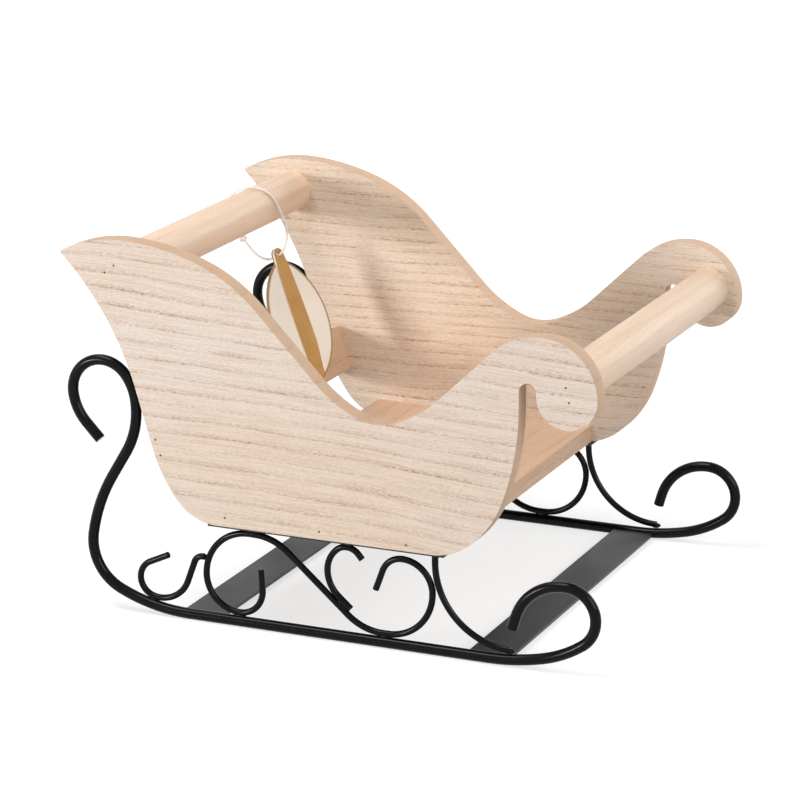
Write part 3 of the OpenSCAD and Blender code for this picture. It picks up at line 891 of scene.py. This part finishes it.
@dataclass
class HangTag:
    """Card tag: an oval with a scorched rim and a strip up its middle, on a loop of twine."""

    low: tuple[float, float, float] = (-67.38, 42.8, 77.93)
    lean_deg: float = 24.5
    turn_deg: float = 14.0
    height: float = 61.5
    width: float = 41.5
    end_r: float = 7.0
    thick: float = 1.0
    eased_mm: float = 0.15
    tab_rise: float = 6.0
    tab_w: float = 7.0
    strip_w: float = 11.0
    strip_low: float = 6.0
    strip_foot_w: float = 9.0
    strip_up: float = 0.9
    strip_thin_l: float = 13.0
    strip_foot_share: float = 0.1
    strip_bite: float = 0.02
    # Height up the card, and share of the way from the tab's width to the strip's.
    strip_waist: tuple[tuple[float, float], ...] = (
        (60.0, 0.25), (54.0, 0.55), (44.0, 0.85), (32.0, 1.0), (18.0, 1.0),
    )
    tab_steps: int = 12
    hole_d: float = 3.0
    hole_points: int = 28
    string_d: float = 1.3
    ply_pitch: float = 4.5
    ply_points: int = 14
    ply_waist: float = 0.78
    ply_round: float = 0.8
    route_steps: int = 8
    route: tuple[tuple[float, float, float], ...] = (
        (-92.97, 49.17, 136.16), (-91.9, 48.9, 136.7), (-90.4, 49.8, 138.6),
        (-89.6, 51.2, 141.6), (-89.3, 52.4, 146.0), (-90.3, 52.2, 152.0),
        (-92.2, 51.3, 158.0), (-94.0, 49.5, 163.0), (-97.2, 47.3, 167.6),
        (-101.2, 45.2, 169.9), (-105.3, 42.5, 170.4), (-110.0, 40.8, 168.9),
        (-114.0, 40.0, 165.0), (-115.6, 40.6, 159.5), (-115.0, 42.8, 153.8),
        (-113.0, 45.2, 148.4), (-110.2, 47.0, 143.6), (-106.5, 47.4, 139.0),
        (-102.5, 47.6, 135.6), (-99.0, 48.4, 134.0), (-96.6, 49.4, 134.1),
        (-94.7, 49.6, 135.2), (-93.23, 49.23, 136.04),
    )
    knot_at: int = 16
    knot_size: float = 1.5
    knot_flat: float = 1.2
    knot_steps: int = 72

    @property
    def hole_x(self) -> float:
        """Height up the card of the hole, in the middle of the tab's round top."""
        return self.height + self.tab_rise - self.tab_w / 2

    def placed(self) -> Matrix:
        """Matrix from the card's own millimetres to the row frame.

        Returns:
            Matrix with x up the card, y across it and z out of its face.
        """
        lean, turn = math.radians(self.lean_deg), math.radians(self.turn_deg)
        sin_lean, cos_lean = math.sin(lean), math.cos(lean)
        sin_turn, cos_turn = math.sin(turn), math.cos(turn)
        up = Vector((-sin_lean * cos_turn, sin_lean * sin_turn, cos_lean))
        across = Vector((sin_turn, cos_turn, 0.0))
        out = Vector((cos_lean * cos_turn, -cos_lean * sin_turn, sin_lean))
        turned = Matrix((up, across, out)).transposed().to_4x4()
        return Matrix.Translation(Vector(self.low) * MM) @ turned @ Matrix.Scale(MM, 4)

    def dress_card(self) -> Object:
        """Gives the card's solid its pale face, scorched rim and eased edge.

        Returns:
            The card.
        """
        place = self.placed()
        reach = self.height / 2 - self.end_r
        side_r = (reach**2 + (self.width / 2) ** 2 - self.end_r**2) / (self.width - 2 * self.end_r)
        finish = ScorchedCard(
            low=self.low,
            turn=tuple(place.to_euler()),
            out=tuple(place.to_3x3().col[2].normalized()),
            half=self.height / 2,
            reach=reach,
            end_r=self.end_r,
            side_r=side_r,
            drop=side_r - self.width / 2,
            foot=STRIP_FACE.body,
            foot_h=self.strip_low,
            foot_w=self.strip_foot_w,
        )
        card = frame["nodes"]["tag_card"]
        ease(card, finish, self.eased_mm)
        return card

    def strip_edge(self) -> list[tuple[float, float]]:
        """Outline of the strip: a round top, and sides that widen to the card's middle.

        Returns:
            Points up and across the card, in millimetres.
        """
        r = self.tab_w / 2
        half: list[tuple[float, float]] = []
        for k in range(self.tab_steps + 1):
            a = math.pi / 2 * k / self.tab_steps
            half.append((self.hole_x + r * math.cos(a), r * math.sin(a)))
        for x, share in self.strip_waist:
            half.append((x, r + (self.strip_w / 2 - r) * share))
        half.append((self.strip_low, self.strip_foot_w / 2))
        return half + [(x, -y) for x, y in half[-1:0:-1]]

    def strip_face(self, x: float) -> float:
        """Height of the strip's face over the card's middle, which thins out to its foot."""
        share = min(1.0, self.strip_foot_share + (x - self.strip_low) / self.strip_thin_l)
        return self.thick / 2 + self.strip_up * share

    def build_strip(self) -> Object:
        """Makes the ochre strip with its pale cut edge and the string's hole.

        Returns:
            The strip.
        """
        place = self.placed()
        low, high = self.thick / 2 - self.strip_bite, self.strip_face(self.hole_x)
        outline, hole = self.strip_edge(), circle(self.hole_d / 2, self.hole_points)
        back = [place @ Vector((x, y, low)) for x, y in outline]
        front = [place @ Vector((x, y, self.strip_face(x))) for x, y in outline]
        through = [[place @ Vector((self.hole_x + u, v, z)) for u, v in hole] for z in (low, high)]
        bm = bmesh.new()
        rims = loft(bm, [back, front], 1, capped=False)
        bores = loft(bm, through, 1, capped=False)
        for loops in zip(rims, bores):
            pairs = [pair for loop in loops for pair in zip(loop, loop[1:] + loop[:1])]
            edges = [bm.edges.get(pair) for pair in pairs]
            bmesh.ops.triangle_fill(bm, use_beauty=True, use_dissolve=False, edges=edges)
        return new_piece("tag_strip", bm, (STRIP_FACE, CUT_CARD), smooth=False)

    def twine_section(self, walked: float) -> list[tuple[float, float]]:
        """Section of the two-ply twine after some length of it.

        Args:
            walked: Length from the start, in metres.

        Returns:
            Points round the two plies.
        """
        lay = 2 * math.pi * walked / (self.ply_pitch * MM)
        r = self.string_d / 2 * MM
        points = []
        for k in range(self.ply_points):
            a = 2 * math.pi * k / self.ply_points
            swell = abs(math.cos(a)) ** self.ply_round
            bulge = r * (self.ply_waist + (1 - self.ply_waist) * swell)
            points.append((bulge * math.cos(a + lay), bulge * math.sin(a + lay)))
        return points

    def centreline(self) -> list[Vector]:
        """Points along the middle of the twine, in metres."""
        return smooth_path(self.route, self.route_steps)

    def build_string(self) -> Object:
        """Makes the loop of twine from the hole over the rear dowel and back.

        Returns:
            The twine, which stands for the string's solid.
        """
        bm = bmesh.new()
        loft(bm, tube_rings(self.centreline(), self.twine_section))
        twine = new_piece("tag_twine", bm, (TWINE,))
        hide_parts("tag_string")
        return twine

    def build_knot(self) -> Object:
        """Makes the small overhand knot that closes the loop behind the dowel.

        Returns:
            The knot.
        """
        before, middle, after = (Vector(self.route[self.knot_at + step]) for step in (-1, 0, 1))
        turned = (after - before).normalized().to_track_quat("Z", "Y").to_matrix()
        # The curve is a trefoil, which reaches three units from its middle.
        size = self.knot_size * MM / 3
        path = []
        for k in range(self.knot_steps + 1):
            t = 2 * math.pi * k / self.knot_steps
            path.append(middle * MM + turned @ Vector((
                size * (math.sin(t) + 2 * math.sin(2 * t)),
                size * (math.cos(t) - 2 * math.cos(2 * t)),
                -size * self.knot_flat * math.sin(3 * t),
            )))
        bm = bmesh.new()
        loft(bm, tube_rings(path, self.twine_section))
        return new_piece("tag_knot", bm, (TWINE,))

    def build(self) -> None:
        """Makes the tag: dresses the card, and makes its strip, twine and knot."""
        card, strip = self.dress_card(), self.build_strip()
        twine, knot = self.build_string(), self.build_knot()


@dataclass
class WoodBody:
    """Side panels, boards and dowels, with eased edges and the brads that hold them."""

    right_nodes: tuple[str, ...] = ("side_panel_right",)
    left_nodes: tuple[str, ...] = ("side_panel_left",)
    cross_nodes: tuple[str, ...] = ("floor_board", "back_slat")
    dowel_nodes: tuple[str, ...] = ("rear_dowel", "front_dowel")
    eased_mm: float = 0.7
    brad_d: float = 0.9
    brad_points: int = 16
    # Share of the radius and height over the board, from the torn rim to the punch mark.
    brad_profile: tuple[tuple[float, float], ...] = (
        (1.15, 0.02), (1.0, 0.05), (0.85, -0.15), (0.3, -0.105),
    )
    brads: tuple[tuple[float, float], ...] = (
        (-103.5, 163.7), (-108.1, 160.0), (-84.2, 84.5), (-81.7, 77.4), (-49.7, 51.7),
        (-3.0, 51.2), (39.2, 50.4), (113.5, 130.8), (115.0, 124.3),
    )

    def dress(self) -> None:
        """Gives the wooden solids their finishes and eased edges."""
        for nodes, finish in (
            (self.right_nodes, BOARD),
            (self.left_nodes, TAN_BOARD),
            (self.cross_nodes, CROSS_BOARD_WITH_PAINTED_SHADE),
            (self.dowel_nodes, BEECH),
        ):
            for name in nodes:
                ease(frame["nodes"][name], finish, self.eased_mm)

    def build_brads(self, side: Side) -> Object:
        """Makes the sunk brad heads in one side panel.

        Args:
            side: Side of the sleigh.

        Returns:
            The brads of that side.
        """
        low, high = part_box(f"side_panel_{side.name.lower()}")
        face_y = low.y if side is Side.RIGHT else high.y
        out = float(side.value) * MM
        bm = bmesh.new()
        for x, z in self.brads:
            rings = []
            for share, proud in self.brad_profile:
                ring = circle(self.brad_d / 2 * share, self.brad_points)
                y = face_y + proud * out
                rings.append([Vector(((x + u) * MM, y, (z + v) * MM)) for u, v in ring])
            loft(bm, rings)
        return new_piece(f"brads_{side.name.lower()}", bm, (BRAD_STEEL,))

    def build(self) -> None:
        """Dresses the wood and makes the brads."""
        self.dress()
        for side in Side:
            self.build_brads(side)


@dataclass
class WireFrames:
    """The two bent-wire frames, their bars and straps, with the weld beads that join them."""

    wire_kinds: tuple[str, ...] = ("runner", "s_scroll", "tail_scroll", "hook_scroll", "front_leg")
    strap_nodes: tuple[str, ...] = ("rear_strap", "front_strap")
    frame_y: float = 97.47
    strip_eased_mm: float = 0.25
    strap_bead_r: float = 1.1
    strap_bead_inset: float = 0.12
    bead_steps: int = 14
    bead_points: int = 12
    bead_tip: float = 0.02
    ripple: float = 0.1
    ripple_halves: int = 9
    # Both ends in x and z, and the half width.
    beads: tuple[tuple[float, float, float, float, float], ...] = (
        (-47.0, 5.1, -41.0, 5.1, 1.2),
        (25.0, 5.2, 31.0, 5.2, 1.2),
        (-41.0, 46.2, -35.0, 46.2, 1.1),
        (-90.1, 7.6, -85.3, 6.6, 1.2),
        (-61.4, 29.5, -61.2, 32.3, 1.0),
        (10.0, 14.9, 4.9, 19.4, 1.0),
        (7.9, 46.2, 12.3, 46.2, 1.1),
        (50.6, 46.2, 54.0, 46.2, 1.2),
        (51.3, 27.4, 51.6, 32.0, 1.0),
        (85.6, 6.6, 90.2, 7.2, 1.2),
    )

    def dress(self) -> None:
        """Gives the wires, bars and straps their coats."""
        for side in Side:
            for kind in self.wire_kinds:
                coat(frame["nodes"][f"{kind}_{side.name.lower()}"], WIRE_COAT)
            ease(frame["nodes"][f"top_bar_{side.name.lower()}"], STRIP_COAT_WITH_PAINTED_REFLECTION, self.strip_eased_mm)
        for name in self.strap_nodes:
            ease(frame["nodes"][name], STRIP_COAT_WITH_PAINTED_REFLECTION, self.strip_eased_mm)

    def bead(self, bm: Mesh, start: Vector, end: Vector, radius: float) -> None:
        """Adds one weld bead: a low ridge with the ripples of the puddle.

        Args:
            bm: Mesh that takes the bead.
            start: One end, in metres.
            end: Other end, in metres.
            radius: Half width at the middle, in metres.
        """
        path = [start.lerp(end, k / self.bead_steps) for k in range(self.bead_steps + 1)]
        length = (end - start).length

        def section(walked: float) -> list[tuple[float, float]]:
            """Section of the bead after some of its length."""
            t = min(max(walked / length, self.bead_tip), 1 - self.bead_tip)
            ripple = 1 + self.ripple * math.sin(self.ripple_halves * math.pi * t)
            return circle(radius * math.sqrt(1 - (2 * t - 1) ** 2) * ripple, self.bead_points)

        loft(bm, tube_rings(path, section))

    def build_beads(self, side: Side) -> Object:
        """Makes the weld beads of one frame.

        Args:
            side: Side of the sleigh.

        Returns:
            The beads of that side.
        """
        y = side.value * self.frame_y
        bm = bmesh.new()
        for x0, z0, x1, z1, r in self.beads:
            self.bead(bm, Vector((x0, y, z0)) * MM, Vector((x1, y, z1)) * MM, r * MM)
        for name in self.strap_nodes:
            low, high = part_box(name)
            end_y = high.y if side is Side.LEFT else low.y
            mid_z = (low.z + high.z) / 2
            inset = self.strap_bead_inset * (high.x - low.x)
            start = Vector((low.x + inset, end_y, mid_z))
            end = Vector((high.x - inset, end_y, mid_z))
            self.bead(bm, start, end, self.strap_bead_r * MM)
        return new_piece(f"weld_beads_{side.name.lower()}", bm, (BEAD_COAT,))

    def build(self) -> None:
        """Dresses the frames and makes their weld beads."""
        self.dress()
        for side in Side:
            self.build_beads(side)


@dataclass
class Studio:
    """Pale floor and soft light round the sleigh."""

    floor_size: float = 6.0
    floor_cells: int = 8
    # Name, place and size in metres, and power in watts.
    lamps: tuple[tuple[str, tuple[float, float, float], tuple[float, float], float], ...] = (
        ("overhead_softbox", (-0.5, -0.3, 1.4), (0.9, 0.6), 13.5),
        ("left_key_softbox", (-1.2, -1.6, 0.3), (0.45, 0.35), 19.5),
        ("right_fill_softbox", (1.7, -0.6, 1.0), (1.2, 1.0), 18.5),
        ("rear_fill_softbox", (1.0, 1.8, 0.55), (1.3, 0.8), 10.5),
    )
    aim: tuple[float, float, float] = (0.0, 0.0, 0.08)
    world_level: float = 0.25
    paper: str = "#b4b4b4"
    near_lift: float = 0.66
    near_m: float = 0.35
    far_m: float = 0.9

    def background_rays(self, tree: Tree) -> Socket:
        """Tells the rays that show the background, straight, off metal or through glass.

        Args:
            tree: Node tree that takes the nodes.

        Returns:
            1 for such a ray, and 0 for one that only carries light.
        """
        rays = add_node(tree, "ShaderNodeLightPath")
        seen = rays.outputs["Is Camera Ray"]
        for kind in ("Is Glossy Ray", "Is Transmission Ray"):
            seen = add_node(
                tree, "ShaderNodeMath", {0: seen, 1: rays.outputs[kind]}, operation="MAXIMUM"
            ).outputs["Value"]
        return seen

    def build_floor(self) -> None:
        """Makes the floor: white to the camera, and darker only in the sleigh's shadow."""
        bm = bmesh.new()
        cells = self.floor_cells
        bmesh.ops.create_grid(bm, x_segments=cells, y_segments=cells, size=self.floor_size / 2)
        mesh = bpy.data.meshes.new("studio_floor")
        bm.to_mesh(mesh)
        bm.free()
        floor = bpy.data.objects.new("studio_floor", mesh)
        bpy.context.scene.collection.objects.link(floor)
        material = bpy.data.materials.new("white_paper_sweep")
        material.use_nodes = True
        tree = material.node_tree
        tree.nodes.clear()
        paper = add_node(
            tree, "ShaderNodeBsdfDiffuse", {"Color": linear(self.paper)}
        ).outputs["BSDF"]
        # The sweep fades to plain white away from the sleigh.
        place = add_node(tree, "ShaderNodeTexCoord").outputs["Object"]
        away = add_node(
            tree, "ShaderNodeVectorMath", {0: place}, operation="LENGTH"
        ).outputs["Value"]
        white = add_node(
            tree, "ShaderNodeMapRange",
            {
                "Value": away,
                "From Min": self.near_m,
                "From Max": self.far_m,
                "To Min": self.near_lift,
                "To Max": 1.0,
            },
        ).outputs["Result"]
        lift = add_node(
            tree, "ShaderNodeEmission", {"Color": WHITE, "Strength": white}
        ).outputs["Emission"]
        lit = add_node(tree, "ShaderNodeAddShader", {0: paper, 1: lift}).outputs["Shader"]
        shader = add_node(
            tree, "ShaderNodeMixShader", {0: self.background_rays(tree), 1: paper, 2: lit}
        ).outputs["Shader"]
        add_node(tree, "ShaderNodeOutputMaterial", {"Surface": shader})
        mesh.materials.append(material)

    def build_world(self) -> None:
        """Makes the even light all round, which the camera sees as white."""
        world = bpy.data.worlds.new("white_room")
        world.use_nodes = True
        tree = world.node_tree
        tree.nodes.clear()
        level = add_node(
            tree, "ShaderNodeMapRange",
            {"Value": self.background_rays(tree), "To Min": self.world_level, "To Max": 1.0},
        ).outputs["Result"]
        light = add_node(
            tree, "ShaderNodeBackground", {"Color": WHITE, "Strength": level}
        ).outputs["Background"]
        add_node(tree, "ShaderNodeOutputWorld", {"Surface": light})
        bpy.context.scene.world = world

    def build_lamps(self) -> None:
        """Makes the softboxes, turned to the sleigh."""
        aim = Vector(self.aim)
        for name, place, size, watts in self.lamps:
            data = bpy.data.lights.new(name, "AREA")
            data.shape = "RECTANGLE"
            data.size, data.size_y = size
            data.energy = watts
            lamp = bpy.data.objects.new(name, data)
            lamp.location = place
            lamp.rotation_euler = (aim - Vector(place)).to_track_quat("-Z", "Y").to_euler()
            bpy.context.scene.collection.objects.link(lamp)
            log.info("%s: %.1f W", name, watts)

    def build(self) -> None:
        """Makes the floor, the room's light and the lamps."""
        self.build_floor()
        self.build_world()
        self.build_lamps()
        bpy.context.scene.view_settings.view_transform = "Standard"


def main() -> None:
    """Builds the camera, the tag, the body, the frames and the studio in order."""
    PhotoCamera().build()
    HangTag().build()
    WoodBody().build()
    WireFrames().build()
    Studio().build()


if __name__ == "__main__":
    main()
